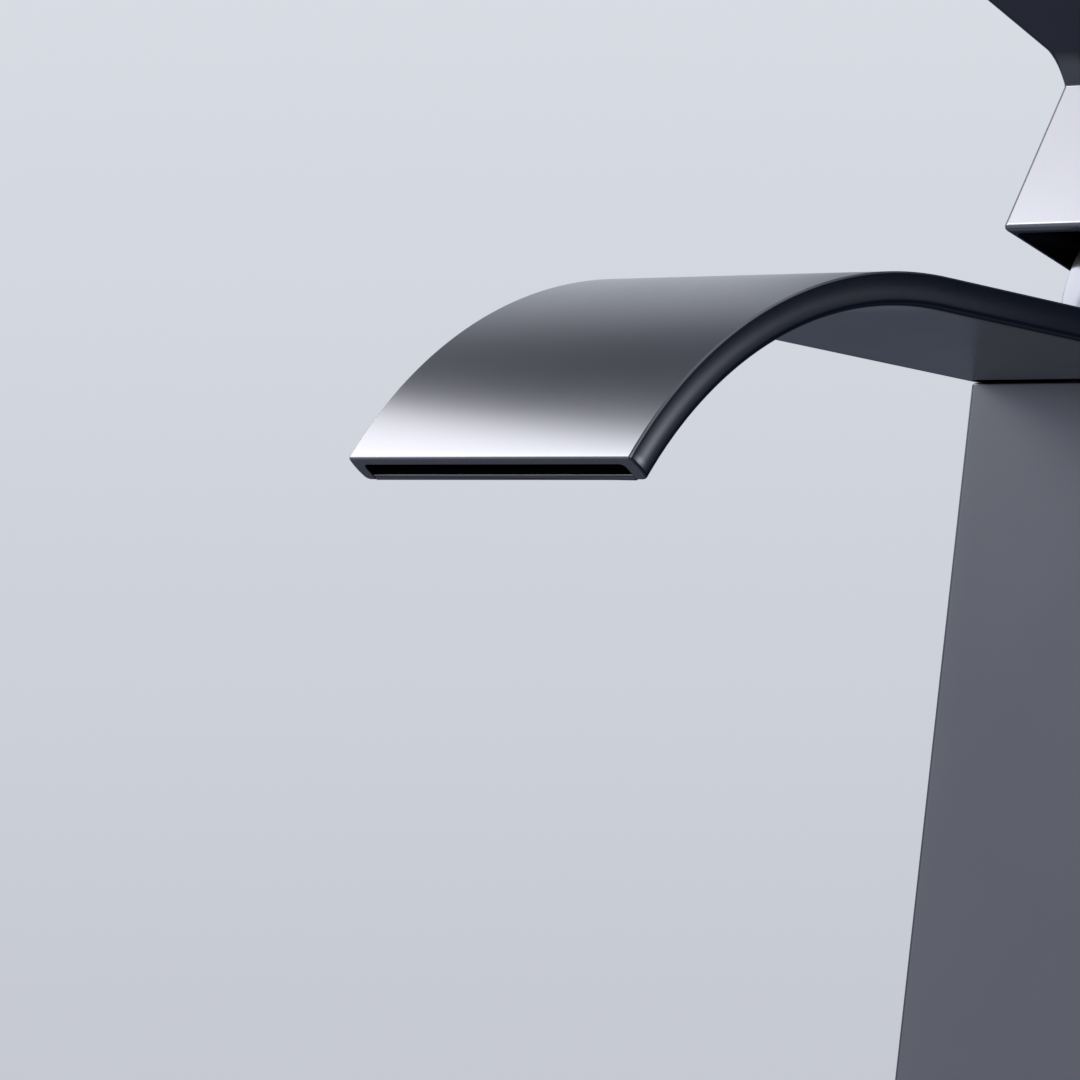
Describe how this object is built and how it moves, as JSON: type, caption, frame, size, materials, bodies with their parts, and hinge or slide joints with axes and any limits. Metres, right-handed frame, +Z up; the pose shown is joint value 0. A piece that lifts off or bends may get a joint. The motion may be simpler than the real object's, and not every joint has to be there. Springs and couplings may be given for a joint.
{
  "type": "bathroom mixer faucet",
  "caption": "Waterfall basin mixer: tapered square column, thin curved flat spout with a slot lip, chrome dome and a block lever tilted back, with its cartridge and deck fixings.",
  "frame": {"origin": "centre of the column's foot on the deck surface, under the axis of the threaded shank", "axes": "+Z up from the deck, -Y from the column towards the spout's lip, X across; the hot inlet is at -X, which is the user's left when they face the spout's lip from -Y"},
  "size_m": [0.0564, 0.1637, 0.2469],
  "materials": {
    "gunmetal": "satin brushed dark gunmetal plating",
    "bright_chrome": "polished",
    "brass": "turned, plain",
    "steel": "turned stainless",
    "rubber": "matt black",
    "white_nylon": "moulded",
    "black_nylon": "moulded",
    "ceramic": "lapped white ceramic",
    "limit_red": "moulded"
  },
  "bodies": {
    "faucet_body": {"column_body": "gunmetal", "spout_upper_shell": "gunmetal", "spout_lower_plate": "gunmetal", "bonnet_dome": "bright_chrome", "cartridge_nut": "brass", "cartridge_housing": "white_nylon", "cartridge_base": "black_nylon", "base_seal_hot": "rubber", "base_seal_cold": "rubber", "base_seal_outlet": "rubber", "fixed_ceramic_disc": "ceramic", "temperature_limit_ring": "limit_red", "inlet_insert_hot": "brass", "inlet_washer_hot": "rubber", "inlet_insert_cold": "brass", "inlet_washer_cold": "rubber", "shank": "brass", "base_gasket": "rubber", "clamp_washer_rubber": "rubber", "clamp_washer_steel": "steel", "mounting_nut": "brass"},
    "turning_collar": {"stem_collar": "black_nylon", "stem_pin": "steel"},
    "lever_unit": {"handle": "gunmetal", "stem": "steel", "handle_set_screw": "steel", "set_screw_cap": "gunmetal"},
    "sliding_disc": {"disc_carrier": "white_nylon", "moving_ceramic_disc": "ceramic"}
  },
  "joints": [
    {"name": "handle_turn", "type": "hinge", "parent": "faucet_body", "child": "turning_collar", "pos_m": [0, 0.00597, 0.12219], "axis": [0, 0.1305, 0.9914], "range_deg": [-50, 50]},
    {"name": "handle_lift", "type": "hinge", "parent": "turning_collar", "child": "lever_unit", "pos_m": [0, 0.00597, 0.12219], "axis": [-1, 0, 0], "range_deg": [-14, 11]},
    {"name": "disc_slide", "type": "slide", "parent": "turning_collar", "child": "sliding_disc", "axis": [0, -0.9914, 0.1305], "range_m": [-0.0049, 0.0039]}
  ],
  "couplings": [
    {"joint": "disc_slide", "follows": "handle_lift", "m_per_rad": 0.0198}
  ]
}
